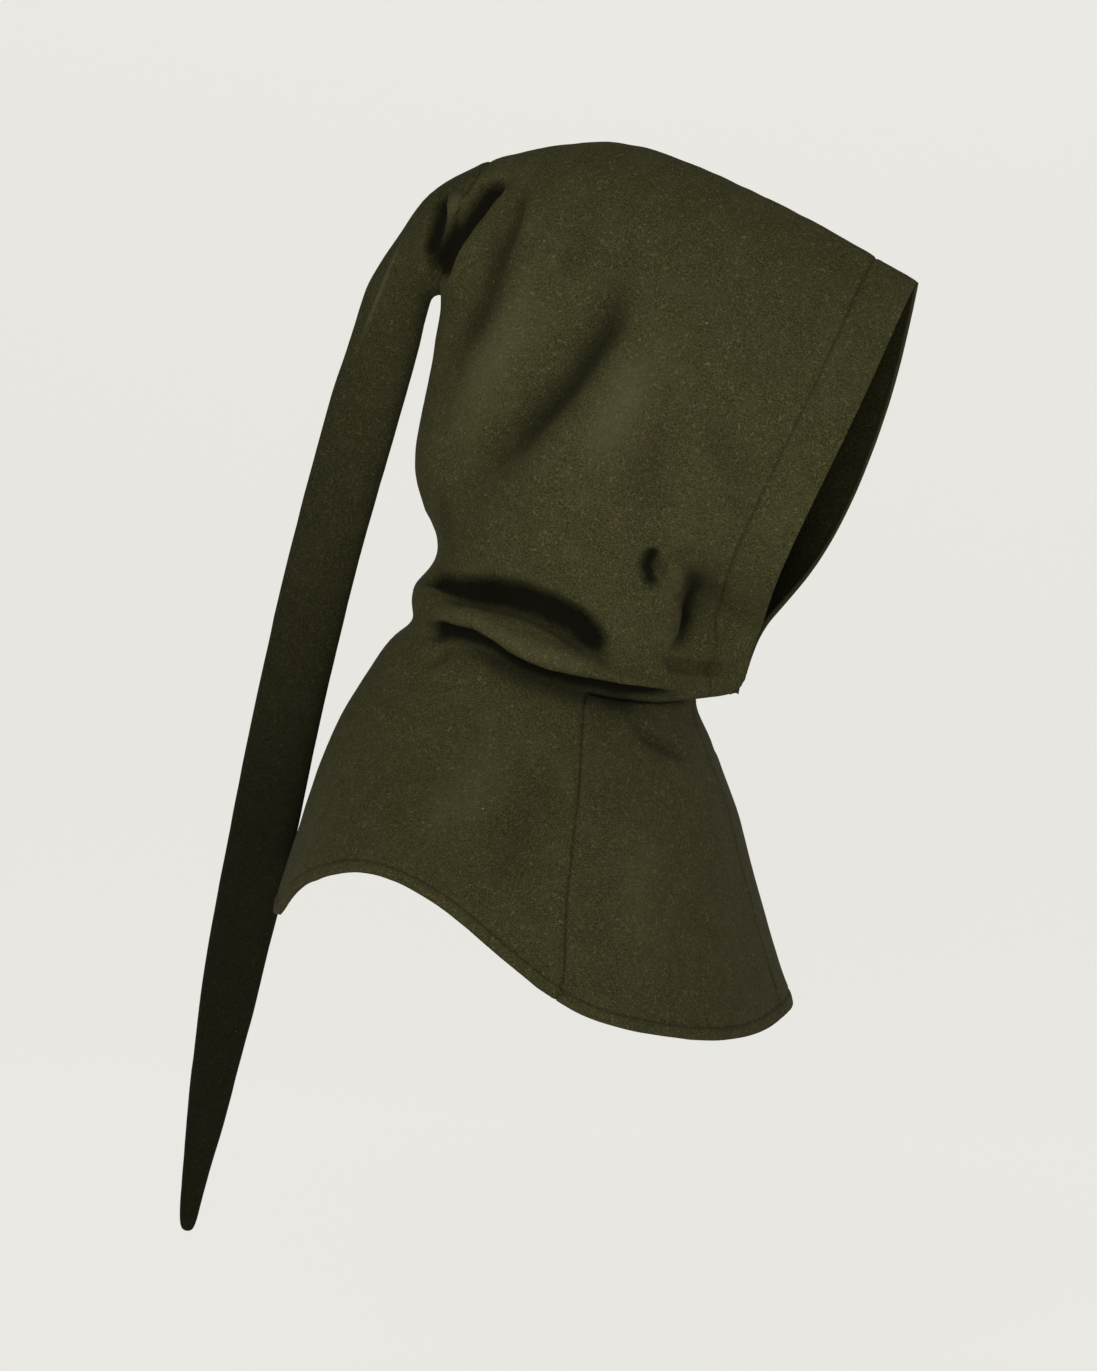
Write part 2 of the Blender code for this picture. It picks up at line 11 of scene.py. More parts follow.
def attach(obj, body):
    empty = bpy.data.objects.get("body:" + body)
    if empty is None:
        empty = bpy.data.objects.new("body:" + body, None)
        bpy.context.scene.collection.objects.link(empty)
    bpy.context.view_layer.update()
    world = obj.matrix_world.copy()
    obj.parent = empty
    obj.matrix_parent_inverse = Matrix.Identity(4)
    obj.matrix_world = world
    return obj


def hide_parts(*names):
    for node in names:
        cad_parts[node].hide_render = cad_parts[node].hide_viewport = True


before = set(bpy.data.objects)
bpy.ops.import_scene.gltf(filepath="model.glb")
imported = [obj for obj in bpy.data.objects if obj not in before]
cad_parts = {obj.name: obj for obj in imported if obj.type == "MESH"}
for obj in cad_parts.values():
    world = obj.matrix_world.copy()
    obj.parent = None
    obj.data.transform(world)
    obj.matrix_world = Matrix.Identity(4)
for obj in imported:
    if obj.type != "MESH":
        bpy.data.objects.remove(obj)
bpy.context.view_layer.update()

# Camera: the hood's right side, turned a little towards its front
shot = {"turned": 15.0, "raised": 5.0, "away": 2.0, "lookAt": (-0.0314, 0.0, -0.3204),
        "lens": 87.53, "sensor": 36.0, "photoSize": (1097, 1371)}

turned, raised = math.radians(shot["turned"]), math.radians(shot["raised"])
backwards = Vector((math.cos(raised) * math.sin(turned), -math.cos(raised) * math.cos(turned),
                    math.sin(raised)))
eye = Vector(shot["lookAt"]) + shot["away"] * backwards
bpy.ops.object.select_all(action="DESELECT")
bpy.ops.object.camera_add(location=eye, rotation=backwards.to_track_quat("Z", "Y").to_euler())
camera = bpy.context.object
camera.data.lens = shot["lens"]
camera.data.sensor_width = shot["sensor"]
camera.data.clip_end = 60
camera.data.dof.use_dof = False
bpy.context.scene.camera = camera
bpy.context.view_layer.update()


def photoRay(x, y):
    # the line of sight through one point of the photo
    wide, high = shot["photoSize"]
    unit = shot["sensor"] / shot["lens"] / high
    side = Vector(((x - wide / 2) * unit, (high / 2 - y) * unit, -1.0))
    return eye, (camera.matrix_world.to_3x3() @ side).normalized()


cloth = {"thickness": 0.0018, "rounding": 0.0005, "faceHem": 0.028, "capeHem": 0.007,
         "smoothLevels": 2, "seamGap": 0.0007, "halfGap": 0.00004,
         "slitReach": 0.0015, "insideTone": -0.5, "mergeWithin": 0.00001, "skinTurn": 55,
         "flatTurn": 60, "squareTurn": 70, "roundFrom": 62, "hemFoot": -0.322, "faceAbove": -0.34,
         "capeBelow": -0.36, "borderStep": 0.0012, "edgePull": 0.0004, "edgeWide": 0.0015}
pieceNames = ["hood_right", "hood_left", "front_cape_right", "front_cape_left", "liripipe"]


def outerSkin(node):
    # the outside of a piece's solid: flood over its faces and stop at the cut edges
    work = bmesh.new()
    work.from_mesh(node.data)
    bmesh.ops.remove_doubles(work, verts=work.verts, dist=cloth["mergeWithin"])
    bmesh.ops.join_triangles(work, faces=work.faces,
                             angle_face_threshold=math.radians(cloth["flatTurn"]),
                             angle_shape_threshold=math.radians(cloth["squareTurn"]))
    seen, best, turn = set(), [], math.radians(cloth["skinTurn"])
    for first in work.faces:
        if first in seen:
            continue
        seen.add(first)
        island, waiting = [], [first]
        while waiting:
            face = waiting.pop()
            island.append(face)
            for edge in face.edges:
                if len(edge.link_faces) == 2 and edge.calc_face_angle(0) < turn:
                    for other in edge.link_faces:
                        if other not in seen:
                            seen.add(other)
                            waiting.append(other)
        if sum(f.calc_area() for f in island) > sum(f.calc_area() for f in best):
            best = island
    keep = set(best)
    bmesh.ops.delete(work, geom=[f for f in work.faces if f not in keep], context="FACES")
    return work


def makeSheet():
    # all outer skins in one mesh, sewn together, each face marked with its piece
    sheetMesh = bpy.data.meshes.new("sheet")
    joined = bmesh.new()
    mark = joined.faces.layers.int.new("piece")
    for number, name in enumerate(pieceNames):
        skin = outerSkin(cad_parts[name])
        places = {v: joined.verts.new(v.co) for v in skin.verts}
        for face in skin.faces:
            joined.faces.new([places[v] for v in face.verts])[mark] = number
        skin.free()
    borders = [v for v in joined.verts if v.is_boundary]
    bmesh.ops.remove_doubles(joined, verts=borders, dist=cloth["seamGap"])
    bmesh.ops.recalc_face_normals(joined, faces=joined.faces)
    joined.to_mesh(sheetMesh)
    joined.free()
    sheet = bpy.data.objects.new("sheet", sheetMesh)
    bpy.context.scene.collection.objects.link(sheet)
    return sheet


def applyModifier(obj, kind, **settings):
    bpy.ops.object.select_all(action="DESELECT")
    bpy.context.view_layer.objects.active = obj
    obj.select_set(True)
    modifier = obj.modifiers.new(kind.lower(), kind)
    for key, value in settings.items():
        setattr(modifier, key, value)
    bpy.ops.object.modifier_apply(modifier=modifier.name)


sheet = makeSheet()
print("sheet joined:", len(sheet.data.polygons), "faces")
applyModifier(sheet, "SUBSURF", levels=cloth["smoothLevels"],
              render_levels=cloth["smoothLevels"], boundary_smooth="PRESERVE_CORNERS")
print("sheet smoothed:", len(sheet.data.polygons), "faces")


# Folds, drawn on the photo from point to point and laid on the cloth
# depth in millimetres, minus goes in; wide is the half width of the fold; tone is painted shade
# (minus) or painted highlight (plus) along it

folds = [
    # where the tail leaves the hood
    {"depth": -18.0, "wide": 5.5, "ends": (0.12, 0.15),
     "at": [(503, 181), (488, 188), (474, 208), (460, 228), (449, 245), (441, 266), (438, 278)]},
    {"depth": -11.0, "tone": -1.4, "wide": 4.0, "ends": (0.2, 0.2),
     "at": [(441, 192), (440, 210), (436, 226), (432, 242), (430, 262)]},
    {"depth": 4.0, "wide": 8.0, "at": [(466, 190), (456, 206), (448, 220)]},
    {"depth": -4.0, "wide": 5.5,
     "at": [(509, 183), (519, 195), (515, 212), (506, 238), (497, 264)]},
    {"depth": -4.5, "tone": -0.6, "wide": 13.0, "ends": (0.3, 0.4),
     "at": [(512, 205), (492, 280), (466, 335), (446, 380)]},
    # the roll of the neck
    {"depth": -11.0, "tone": -1.4, "wide": 4.0, "ends": (0.10, 0.12),
     "at": [(426, 577), (450, 583), (480, 586), (515, 591), (548, 602), (578, 619), (598, 640),
            (606, 656)]},
    {"depth": -10.0, "tone": -0.5, "wide": 8.0, "ends": (0.25, 0.20),
     "at": [(440, 589), (470, 594), (500, 598), (535, 607), (565, 622), (588, 640), (602, 655)]},
    {"depth": 6.5, "wide": 7.0, "ends": (0.2, 0.3), "tone": 0.2,
     "at": [(440, 614), (473, 620), (515, 644), (554, 659), (588, 667), (612, 667)]},
    {"depth": -11.0, "tone": -1.6, "wide": 4.5, "ends": (0.1, 0.2),
     "at": [(427, 634), (444, 631), (473, 637), (492, 647), (526, 667), (560, 678), (604, 690),
            (647, 697), (684, 694)]},
    {"depth": -2.4, "wide": 3.5, "at": [(453, 650), (437, 659), (422, 669)]},
    # the cheek: a short curl, a hanging hollow and the crease at its foot
    {"depth": -7.0, "tone": -1.0, "wide": 2.8, "ends": (0.2, 0.2),
     "at": [(658, 550), (649, 557), (645, 569), (649, 581), (659, 588)]},
    {"depth": -4.5, "wide": 6.5, "at": [(650, 552), (655, 570), (664, 584)]},
    {"depth": 3.0, "wide": 7.0, "at": [(672, 556), (677, 580), (676, 604)]},
    {"depth": -6.5, "tone": -0.35, "wide": 9.0, "ends": (0.7, 0.3),
     "at": [(684, 556), (696, 584), (697, 612), (690, 644)]},
    {"depth": -6.0, "tone": -0.7, "wide": 3.4, "ends": (0.75, 0.25),
     "at": [(676, 560), (690, 572), (697, 594), (694, 618), (686, 637), (670, 654)]},
    {"depth": -6.0, "tone": -0.3, "wide": 3.2, "ends": (0.2, 0.35),
     "at": [(663, 654), (674, 664), (698, 669), (722, 670), (738, 668)]},
    # long soft folds of the head
    {"depth": -8.5, "wide": 12.0, "ends": (0.3, 0.4),
     "at": [(622, 258), (608, 320), (566, 380), (520, 432), (470, 485)]},
    {"depth": -3.0, "wide": 10.0, "at": [(664, 400), (648, 460), (640, 530)]},
    {"depth": -2.5, "wide": 9.0, "at": [(590, 200), (572, 262), (560, 290)]},
    {"depth": 4.5, "wide": 15.0, "at": [(655, 330), (620, 410), (580, 480)]},
    {"depth": 4.0, "wide": 17.0, "at": [(540, 250), (505, 340), (455, 440)]},
    {"depth": -2.5, "wide": 10.0, "at": [(700, 400), (735, 470), (745, 540)]},
    # tint alone, where the photo shows the cloth in shade: under the roll, nape and cheek
    {"depth": 0.0, "tone": -0.8, "wide": 9.0, "ends": (0.3, 0.2),
     "at": [(440, 644), (475, 650), (515, 672), (560, 688), (610, 700), (660, 706), (700, 708)]},
    {"depth": 0.0, "tone": -0.2, "wide": 22.0, "at": [(560, 700), (620, 725), (690, 730)]},
    {"depth": 0.0, "tone": -0.3, "wide": 10.0, "at": [(436, 480), (446, 520), (452, 560)]},
    {"depth": 0.0, "tone": -0.2, "wide": 16.0, "at": [(700, 560), (715, 620), (720, 670)]},
    # the cape
    {"depth": -4.5, "wide": 5.5, "at": [(630, 716), (649, 737), (667, 746), (694, 762)]},
    {"depth": 2.5, "wide": 16.0, "at": [(500, 720), (470, 790), (420, 850)]},
    {"depth": -2.5, "wide": 14.0, "at": [(560, 740), (520, 830), (490, 900)]},
    {"depth": 2.0, "wide": 14.0, "at": [(650, 800), (640, 900), (650, 990)]},
]
ridges = [   # sewn edges that stand a little proud: the long seam of the tail
    {"depth": 1.0, "tone": 0.45, "wide": 1.6,
     "at": [(409, 222), (399, 247), (389, 270), (380, 293), (368, 322), (356, 352)]},
]


def laidPath(row, tree):
    # the drawn points where their lines of sight meet the cloth
    places = []
    for x, y in row["at"]:
        start, along = photoRay(x, y)
        hit = tree.ray_cast(start, along)[0]
        if hit is not None:
            places.append(np.array(hit))
    return places


def nearPath(points, path):
    # distance from each point to the line through the path, and how far along it that is
    best, along = np.full(len(points), 1.0), np.zeros(len(points))
    lengths = [np.linalg.norm(b - a) for a, b in zip(path, path[1:])]
    done = 0.0
    for start, end, length in zip(path, path[1:], lengths):
        step = end - start
        share = np.clip((points - start) @ step / max(step @ step, 1e-12), 0, 1)
        away = np.linalg.norm(points - start - share[:, None] * step, axis=1)
        closer = away < best
        best[closer] = away[closer]
        along[closer] = (done + share[closer] * length) / sum(lengths)
        done += length
    return best, along


def soften(share):
    share = np.clip(share, 0.0, 1.0)
    return share * share * (3 - 2 * share)


def foldForce(points, row, path, breadth=1.0):
    # how strongly a fold works at each point: full on its line, fading sideways and at its ends
    away, along = nearPath(points, path)
    first, last = row.get("ends", (0.4, 0.4))
    fade = (0.15 + 0.85 * soften(along / first)) * (0.15 + 0.85 * soften((1 - along) / last))
    return fade * np.exp(-(away * 1000 / (row["wide"] * breadth)) ** 2)


def meshPoints(mesh):
    points = np.empty(len(mesh.vertices) * 3)
    mesh.vertices.foreach_get("co", points)
    return points.reshape(-1, 3)


def meshNormals(mesh):
    normals = np.empty(len(mesh.vertices) * 3, dtype=np.float32)
    mesh.vertices.foreach_get("normal", normals)
    return normals.reshape(-1, 3).astype(float)


def movePoints(mesh, points):
    mesh.vertices.foreach_set("co", points.reshape(-1))
    mesh.update()


def edgePoints(wanted):
    # points along the borders that wanted picks, a millimetre or two apart
    work = bmesh.new()
    work.from_mesh(sheet.data)
    mark = work.faces.layers.int["piece"]
    found = []
    for edge in work.edges:
        if wanted(edge, mark):
            a, b = edge.verts[0].co, edge.verts[1].co
            count = max(1, int((a - b).length / cloth["borderStep"]))
            found.extend(a.lerp(b, k / count) for k in range(count + 1))
    work.free()
    return found


def isSeam(edge, mark):
    return len(edge.link_faces) == 2 and edge.link_faces[0][mark] != edge.link_faces[1][mark]


def isFaceEdge(edge, mark):
    return len(edge.link_faces) == 1 and edge.verts[0].co.z > cloth["faceAbove"]


def isCapeEdge(edge, mark):
    return len(edge.link_faces) == 1 and edge.verts[0].co.z < cloth["capeBelow"]


def distancesTo(places, points):
    tree = KDTree(len(places))
    for number, place in enumerate(places):
        tree.insert(place, number)
    tree.balance()
    return np.array([tree.find(p)[2] for p in points])


def sheetTree():
    work = bmesh.new()
    work.from_mesh(sheet.data)
    tree = BVHTree.FromBMesh(work)
    work.free()
    return tree


tree = sheetTree()
foldPaths = []
for row in folds + ridges:
    path = laidPath(row, tree)
    if len(path) < 2:
        print("fold misses the cloth:", row["at"][0])
        continue
    foldPaths.append((row, path))
    foldPaths.append((row, [p * np.array((1, -1, 1)) for p in path]))

seamPoints = edgePoints(isSeam)
facePoints = edgePoints(isFaceEdge)
capePoints = edgePoints(isCapeEdge)


def refine(picked):
    # halve the faces that have a picked corner
    work = bmesh.new()
    work.from_mesh(sheet.data)
    work.verts.ensure_lookup_table()
    faces = [f for f in work.faces if any(picked[v.index] for v in f.verts)]
    edges = list({e for f in faces for e in f.edges})
    bmesh.ops.subdivide_edges(work, edges=edges, cuts=1, use_grid_fill=True, smooth=0.0)
    work.to_mesh(sheet.data)
    work.free()
    sheet.data.update()


points = meshPoints(sheet.data)
near = np.zeros(len(points), bool)
for row, path in foldPaths:
    if row["wide"] < 9 and row["depth"]:
        near |= nearPath(points, path)[0] < row["wide"] * 0.0018
seamAway = distancesTo(seamPoints, points)
faceAway = distancesTo(facePoints, points)
capeAway = distancesTo(capePoints, points)
near |= (seamAway < 0.004) | (capeAway < 0.010) | (np.abs(faceAway - cloth["faceHem"]) < 0.004)
refine(near)
points = meshPoints(sheet.data)
seamAway = distancesTo(seamPoints, points)
faceAway = distancesTo(facePoints, points)
capeAway = distancesTo(capePoints, points)
refine((seamAway < 0.0016) | (np.abs(faceAway - cloth["faceHem"]) < 0.0016)
       | (np.abs(capeAway - cloth["capeHem"]) < 0.0014))
print("sheet refined:", len(sheet.data.polygons), "faces")

# painted light and shade kept with the cloth: painted highlight paler on fold crests, painted shade
# darker in fold hollows; seams and stitch lines darker as well
points = meshPoints(sheet.data)
paintedLightShadeAndSeams = np.zeros(len(points))
# each fold lays its tone, or else its depth, as painted shade in hollows and painted highlight on
# crests
for row, path in foldPaths:
    paintedLightShadeAndSeams += row.get("tone", row["depth"] / 11) * foldForce(points, row, path, 0.9)
paintedLightShadeAndSeams -= 0.45 * np.exp(-(distancesTo(seamPoints, points) / 0.0008) ** 2)
faceAway = distancesTo(facePoints, points)
capeAway = distancesTo(capePoints, points)
faceLine = np.abs(faceAway - cloth["faceHem"]) + np.where(points[:, 2] < cloth["hemFoot"], 1.0, 0.0)
for lineAway in (faceLine, np.abs(capeAway - cloth["capeHem"])):
    paintedLightShadeAndSeams -= 0.30 * np.exp(-(lineAway / 0.0009) ** 2)
paintedLightShadeAndSeams = np.clip(paintedLightShadeAndSeams, -1.0, 0.5)
layer = sheet.data.attributes.new("paintedLightShadeAndSeams", "FLOAT", "POINT")
layer.data.foreach_set("value", paintedLightShadeAndSeams.astype(np.float32))

# folds go in twice, half their depth each time, so steep ones turn with the cloth
for turnOf in range(2):
    points, normals = meshPoints(sheet.data), meshNormals(sheet.data)
    move = np.zeros(len(points))
    for row, path in foldPaths:
        side = 1.0 if path[0][1] < 0 else 0.85
        move += side * row["depth"] / 2 * foldForce(points, row, path)
    movePoints(sheet.data, points + normals * (move * 0.001)[:, None])

# seams sink, the cloth beside them swells, and stitches pucker it
seam = {"sink": 0.0010, "wide": 0.0012, "swell": 0.00035, "pucker": 0.0003,
        "stitchSink": 0.0008, "stitchWide": 0.0010, "slack": 0.0007, "slackSize": 0.055,
        "ripple": 0.00018, "rippleSize": 0.011}
points, normals = meshPoints(sheet.data), meshNormals(sheet.data)
seamAway = distancesTo(seamPoints, points)
faceAway = distancesTo(facePoints, points)
capeAway = distancesTo(capePoints, points)
slack = np.array([noise.noise(Vector(p) / seam["slackSize"]) for p in points])
ripple = np.array([noise.noise(Vector(p) / seam["rippleSize"] + Vector((3, 7, 1))) for p in points])
move = slack * seam["slack"] + ripple * seam["ripple"]
move -= seam["sink"] * np.exp(-(seamAway / seam["wide"]) ** 2)
move += seam["swell"] * np.exp(-((seamAway - 0.004) / 0.0025) ** 2)
move += seam["pucker"] * ripple * np.exp(-(seamAway / 0.008) ** 2)
hemLine = np.abs(faceAway - cloth["faceHem"]) + np.where(points[:, 2] < cloth["hemFoot"], 1.0, 0.0)
for lineAway in (hemLine, np.abs(capeAway - cloth["capeHem"])):
    move -= seam["stitchSink"] * np.exp(-(lineAway / seam["stitchWide"]) ** 2)
    move += seam["pucker"] * ripple * np.exp(-(lineAway / 0.006) ** 2)
atEdge = np.minimum(faceAway, capeAway)
move -= cloth["edgePull"] * np.exp(-(atEdge / cloth["edgeWide"]) ** 2)
movePoints(sheet.data, points + normals * move[:, None])

hemShare = np.where((faceAway < cloth["faceHem"]) & (points[:, 2] > cloth["hemFoot"]), 1.0, 0.5)
hemShare = np.where(capeAway < cloth["capeHem"], 1.0, hemShare)
group = sheet.vertex_groups.new(name="layers")
group.add([int(i) for i in np.nonzero(hemShare > 0.9)[0]], 1.0, "REPLACE")
group.add([int(i) for i in np.nonzero(hemShare < 0.9)[0]], 0.5, "REPLACE")
# the centre seams stay on the mirror plane, so that the two halves meet without a gap
work = bmesh.new()
work.from_mesh(sheet.data)
mark = work.faces.layers.int["piece"]
for edge in work.edges:
    onSeam = isSeam(edge, mark) and sorted(f[mark] for f in edge.link_faces) in ([0, 1], [2, 3])
    atSlit = isCapeEdge(edge, mark) and max(abs(v.co.y) for v in edge.verts) < cloth["slitReach"]
    if onSeam or atSlit:
        for vert in edge.verts:
            vert.co.y = 0.0
work.to_mesh(sheet.data)
work.free()
print("sheet folded")


def linear(hexColour):
    values = [int(hexColour[k:k + 2], 16) / 255 for k in (1, 3, 5)]
    return [v / 12.92 if v <= 0.04045 else ((v + 0.055) / 1.055) ** 2.4 for v in values] + [1.0]


def addNode(tree, kind, inputs=None, **settings):
    # one node: its settings, and for each input a value or the socket that feeds it
    node = tree.nodes.new(kind)
    for key, value in settings.items():
        setattr(node, key, value)
    for key, value in (inputs or {}).items():
        if isinstance(value, bpy.types.NodeSocket):
            tree.links.new(value, node.inputs[key])
        else:
            node.inputs[key].default_value = value
    return node


# fulled wool: the weave is felted over by short curly fibres, so it is matt and a little furry
wool = {
    "dark": "#25240f", "ground": "#45442a", "fibre": "#5d593a", "redFibre": "#62533e",
    "brown": "#4b4430",
    # hollow is the painted shade colour, crest the painted highlight colour
    "lint": "#b9b4a0", "hollow": "#0b0a05", "hollowShare": 0.95, "crest": "#5d5b3f",
    "crestShare": 0.35,
    "curl": 0.0026, "fibreSpacing": 0.0022, "fibreWidth": 0.05, "fuzzSize": 0.0008,
    "clumpSize": 0.0030, "hueSize": 0.004, "mottleSize": 0.014, "lintSpacing": 0.034,
    "lintSize": 0.009,
    "fibreHeight": 0.0005}


def fulledWool(name, tint, tipShade=0.0, rootShade=0.0):
    material = bpy.data.materials.new(name)
    material.use_nodes = True
    tree = material.node_tree
    place = addNode(tree, "ShaderNodeTexCoord").outputs["Object"]

    # the felted ground: fine dark and light grain, with slow brownish clouds in it
    fuzz = addNode(tree, "ShaderNodeTexNoise", {
        "Vector": place, "Scale": 1 / wool["fuzzSize"], "Detail": 2.0,
        "Roughness": 0.7}).outputs["Fac"]
    share = addNode(tree, "ShaderNodeMapRange", {
        "Value": fuzz, "From Min": 0.36, "From Max": 0.64}).outputs[0]
    base = addNode(tree, "ShaderNodeMix", {
        0: share, 6: linear(wool["dark"]), 7: linear(tint)}, data_type="RGBA").outputs[2]
    mottle = addNode(tree, "ShaderNodeTexNoise", {
        "Vector": place, "Scale": 1 / wool["mottleSize"], "Detail": 4.0,
        "Roughness": 0.6}).outputs["Fac"]
    share = addNode(tree, "ShaderNodeMapRange", {
        "Value": mottle, "From Min": 0.45, "From Max": 0.7, "To Max": 0.3}).outputs[0]
    base = addNode(tree, "ShaderNodeMix", {0: share, 6: base, 7: linear(wool["brown"])},
                   data_type="RGBA").outputs[2]

    # curly fibres on it: thin bent bands along the level lines of a noise
    bend = addNode(tree, "ShaderNodeTexNoise", {
        "Vector": place, "Scale": 1 / wool["curl"], "Detail": 1.0}).outputs["Color"]
    push = addNode(tree, "ShaderNodeVectorMath", {0: bend, 1: (wool["curl"],) * 3},
                   operation="MULTIPLY").outputs[0]
    curled = addNode(tree, "ShaderNodeVectorMath", {0: place, 1: push}, operation="ADD").outputs[0]
    level = addNode(tree, "ShaderNodeTexNoise", {
        "Vector": curled, "Scale": 1 / wool["fibreSpacing"], "Detail": 0.0}).outputs["Fac"]
    away = addNode(tree, "ShaderNodeMath", {0: level, 1: 0.5}, operation="SUBTRACT").outputs[0]
    away = addNode(tree, "ShaderNodeMath", {0: away}, operation="ABSOLUTE").outputs[0]
    strand = addNode(tree, "ShaderNodeMapRange", {
        "Value": away, "From Min": 0.0, "From Max": wool["fibreWidth"], "To Min": 1.0,
        "To Max": 0.0},
        interpolation_type="SMOOTHSTEP").outputs[0]
    clump = addNode(tree, "ShaderNodeTexNoise", {
        "Vector": place, "Scale": 1 / wool["clumpSize"], "Detail": 1.0}).outputs["Fac"]
    clump = addNode(tree, "ShaderNodeMapRange", {
        "Value": clump, "From Min": 0.40, "From Max": 0.58, "To Min": 0.45,
        "To Max": 0.85}).outputs[0]
    strand = addNode(tree, "ShaderNodeMath", {0: strand, 1: clump}, operation="MULTIPLY").outputs[0]
    hue = addNode(tree, "ShaderNodeTexNoise", {
        "Vector": place, "Scale": 1 / wool["hueSize"], "Detail": 0.0}).outputs["Fac"]
    hue = addNode(tree, "ShaderNodeMapRange", {
        "Value": hue, "From Min": 0.45, "From Max": 0.6}).outputs[0]
    strandColour = addNode(tree, "ShaderNodeMix", {
        0: hue, 6: linear(wool["fibre"]), 7: linear(wool["redFibre"])}, data_type="RGBA").outputs[2]
    base = addNode(tree, "ShaderNodeMix", {0: strand, 6: base, 7: strandColour},
                   data_type="RGBA").outputs[2]

    # a rare pale speck of lint
    speck = addNode(tree, "ShaderNodeTexVoronoi", {
        "Vector": place, "Scale": 1 / wool["lintSpacing"], "Randomness": 1.0}).outputs["Distance"]
    speck = addNode(tree, "ShaderNodeMath", {0: speck, 1: wool["lintSize"]},
                    operation="LESS_THAN").outputs[0]
    base = addNode(tree, "ShaderNodeMix", {0: speck, 6: base, 7: linear(wool["lint"])},
                   data_type="RGBA").outputs[2]

    # painted shade: darker down the tail, in fold hollows and on the inside; painted highlight:
    # paler on crests; seams and stitch lines darker as well
    height = addNode(tree, "ShaderNodeSeparateXYZ", {0: place}).outputs["Z"]
    share = addNode(tree, "ShaderNodeMapRange", {
        "Value": height, "From Min": -0.08, "From Max": -0.42, "To Min": rootShade,
        "To Max": tipShade}).outputs[0]
    base = addNode(tree, "ShaderNodeMix", {0: share, 6: base, 7: linear(wool["hollow"])},
                   data_type="RGBA").outputs[2]
    paintedLightShadeTone = addNode(tree, "ShaderNodeAttribute", attribute_name="paintedLightShadeAndSeams",
                      attribute_type="GEOMETRY").outputs["Fac"]
    for full, most, colour in ((-1.0, "hollowShare", "hollow"), (0.5, "crestShare", "crest")):
        share = addNode(tree, "ShaderNodeMapRange", {
            "Value": paintedLightShadeTone, "From Min": 0.0, "From Max": full, "To Max": wool[most]}).outputs[0]
        base = addNode(tree, "ShaderNodeMix", {0: share, 6: base, 7: linear(wool[colour])},
                       data_type="RGBA").outputs[2]

    height = addNode(tree, "ShaderNodeMath", {0: fuzz, 1: strand}, operation="ADD").outputs[0]
    bump = addNode(tree, "ShaderNodeBump", {
        "Height": height, "Strength": 0.55, "Distance": wool["fibreHeight"]}).outputs[0]
    shader = tree.nodes["Principled BSDF"]
    tree.links.new(base, shader.inputs["Base Color"])
    tree.links.new(bump, shader.inputs["Normal"])
    for key, value in (("Roughness", 0.95), ("Specular IOR Level", 0.06), ("Sheen Weight", 0.04),
                       ("Sheen Roughness", 0.5), ("Sheen Tint", linear("#8a8566"))):
        shader.inputs[key].default_value = value
    return material


hoodWool = fulledWool("fulled_wool_hood", wool["ground"])
# the front capes' wool is tinted paler: painted light, where the lamps leave the front capes darker
frontWool = fulledWool("fulled_wool_front", "#45432c")
# the tail is tinted darker, most towards its tip, because the photo shows it in shade
tailWool = fulledWool("fulled_wool_tail", "#44432a", rootShade=0.25, tipShade=0.85)

dressing = {
    "hood_right": {"material": hoodWool, "slot": "hood_wool", "flat": (0.56, 0.40), "area": 0.160},
    "hood_left": {"material": hoodWool, "slot": "hood_wool", "flat": (0.56, 0.40), "area": 0.160},
    "front_cape_right": {"material": frontWool, "slot": "front_wool", "flat": (0.20, 0.22),
                         "area": 0.034},
    "front_cape_left": {"material": frontWool, "slot": "front_wool", "flat": (0.20, 0.22),
                         "area": 0.034},
    "liripipe": {"material": tailWool, "slot": "liripipe_wool", "flat": (0.70, 0.16),
                 "area": 0.070},
}


def cutPiece(number, name):
    mesh = sheet.data.copy()
    piece = bpy.data.objects.new(name + "_cloth", mesh)
    bpy.context.scene.collection.objects.link(piece)
    for group in sheet.vertex_groups:
        piece.vertex_groups.new(name=group.name)
    work = bmesh.new()
    work.from_mesh(mesh)
    mark = work.faces.layers.int["piece"]
    bmesh.ops.delete(work, geom=[f for f in work.faces if f[mark] != number], context="FACES")
    work.to_mesh(mesh)
    work.free()
    area = sum(f.area for f in mesh.polygons)
    thickest, outerCount = 2 * cloth["thickness"], len(mesh.vertices)
    applyModifier(piece, "SOLIDIFY", thickness=thickest, offset=-1.0, vertex_group="layers",
                  use_quality_normals=True)
    points = meshPoints(piece.data)
    if name != "liripipe":
        side = 1 if name.endswith("left") else -1
        points[:, 1] = side * np.maximum(points[:, 1] * side, cloth["halfGap"])
        movePoints(piece.data, points)
    # the inside is tinted darker, because the photo shows it in deep shade
    tones = np.empty(len(points), dtype=np.float32)
    piece.data.attributes["paintedLightShadeAndSeams"].data.foreach_get("value", tones)
    tones[outerCount:] = np.minimum(tones[outerCount:], cloth["insideTone"])
    piece.data.attributes["paintedLightShadeAndSeams"].data.foreach_set("value", tones)
    applyModifier(piece, "BEVEL", width=cloth["rounding"], segments=2, limit_method="ANGLE",
                  angle_limit=math.radians(cloth["roundFrom"]), loop_slide=False,
                  use_clamp_overlap=True)
    piece.data.materials.clear()
    piece.data.materials.append(dressing[name]["material"])
    for polygon in piece.data.polygons:
        polygon.use_smooth = True
    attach(piece, "root")
    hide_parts(name)
    print(name, "cloth area", round(area, 4), "faces", len(piece.data.polygons))
    return piece, area


clothPieces = {}
for number, name in enumerate(pieceNames):
    clothPieces[name], clothArea = cutPiece(number, name)
bpy.data.objects.remove(sheet)

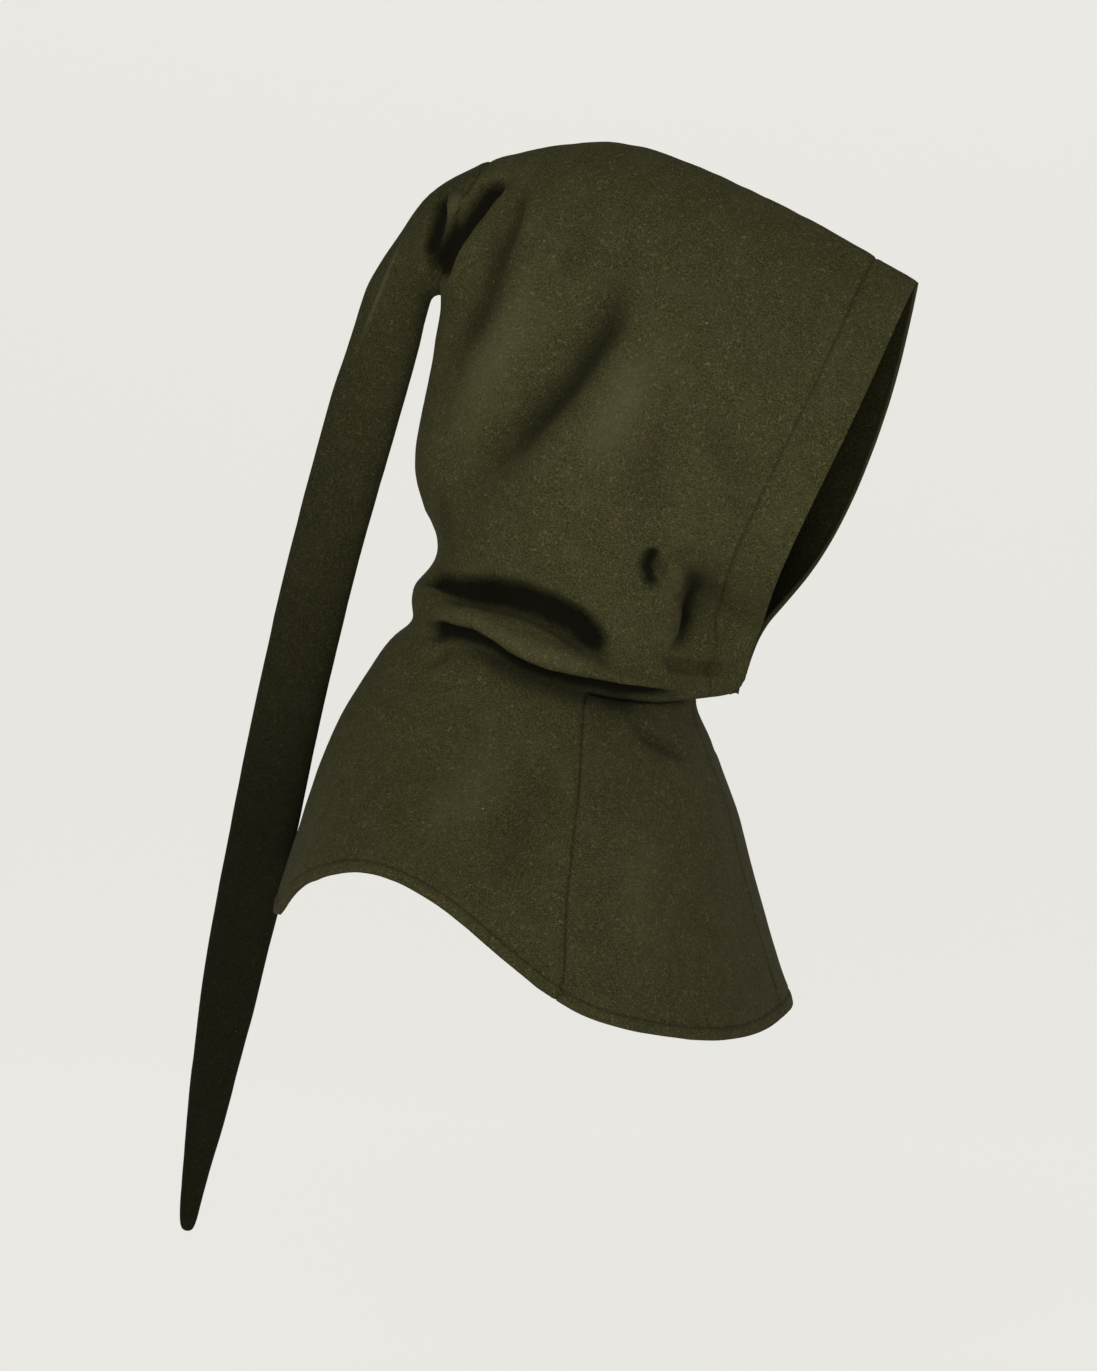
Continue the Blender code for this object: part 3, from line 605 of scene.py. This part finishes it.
studio = {"floorHeight": -1.05, "wide": 16.0, "front": -7.0, "back": 4.0, "high": 7.0, "sweep": 2.0,
          "paper": "#959490", "pale": "#f0efea", "glow": 0.80, "world": 0.12, "keyPower": 23.0,
          "keySize": 1.2, "keyAt": (0.2, -1.9, 0.55), "fillPower": 8.0, "fillSize": 1.0,
          "fillAt": (0.42, -2.2, 0.1)}

bpy.ops.object.select_all(action="DESELECT")
middle = (studio["front"] + studio["back"]) / 2
bpy.ops.mesh.primitive_plane_add(size=1.0, location=(0, middle, studio["floorHeight"]))
floor = bpy.context.object
floor.name = "floor"
floor.scale = (studio["wide"], studio["back"] - studio["front"], 1.0)
bpy.ops.object.transform_apply(location=True, rotation=True, scale=True)
bpy.ops.object.mode_set(mode="EDIT")
work = bmesh.from_edit_mesh(floor.data)
for part in (work.verts, work.edges, work.faces):
    for item in part:
        item.select = False
for edge in work.edges:
    edge.select = all(v.co.y > studio["back"] - 0.01 for v in edge.verts)
bmesh.update_edit_mesh(floor.data)
bpy.ops.mesh.extrude_region_move(TRANSFORM_OT_translate={"value": (0, 0, studio["high"])})
bpy.ops.object.mode_set(mode="OBJECT")
applyModifier(floor, "BEVEL", width=studio["sweep"], segments=24, limit_method="ANGLE",
              angle_limit=math.radians(40))
for polygon in floor.data.polygons:
    polygon.use_smooth = True
paper = bpy.data.materials.new("matt_backdrop_paper")
paper.use_nodes = True
# backdrop paper: matt and evenly pale, as if lit by lamps of its own
for key, value in (("Base Color", linear(studio["paper"])), ("Roughness", 1.0),
                   ("Specular IOR Level", 0.0), ("Emission Color", linear(studio["pale"])),
                   ("Emission Strength", studio["glow"])):
    paper.node_tree.nodes["Principled BSDF"].inputs[key].default_value = value
floor.data.materials.append(paper)


def softLight(name, place, size, power):
    bpy.ops.object.select_all(action="DESELECT")
    towards = Vector(shot["lookAt"]) - Vector(place)
    bpy.ops.object.light_add(type="AREA", location=place,
                             rotation=towards.to_track_quat("-Z", "Y").to_euler())
    light = bpy.context.object
    light.name = name
    light.data.shape = "DISK"
    light.data.size = size
    light.data.energy = power
    return light


softLight("key", studio["keyAt"], studio["keySize"], studio["keyPower"])
softLight("fill", studio["fillAt"], studio["fillSize"], studio["fillPower"])
world = bpy.context.scene.world or bpy.data.worlds.new("studio")
bpy.context.scene.world = world
world.use_nodes = True
world.node_tree.nodes["Background"].inputs["Color"].default_value = (1, 1, 1, 1)
world.node_tree.nodes["Background"].inputs["Strength"].default_value = studio["world"]
bpy.context.scene.view_settings.view_transform = "Standard"
bpy.context.scene.view_settings.look = "None"
bpy.context.scene.view_settings.exposure = 0.0
print("studio set")
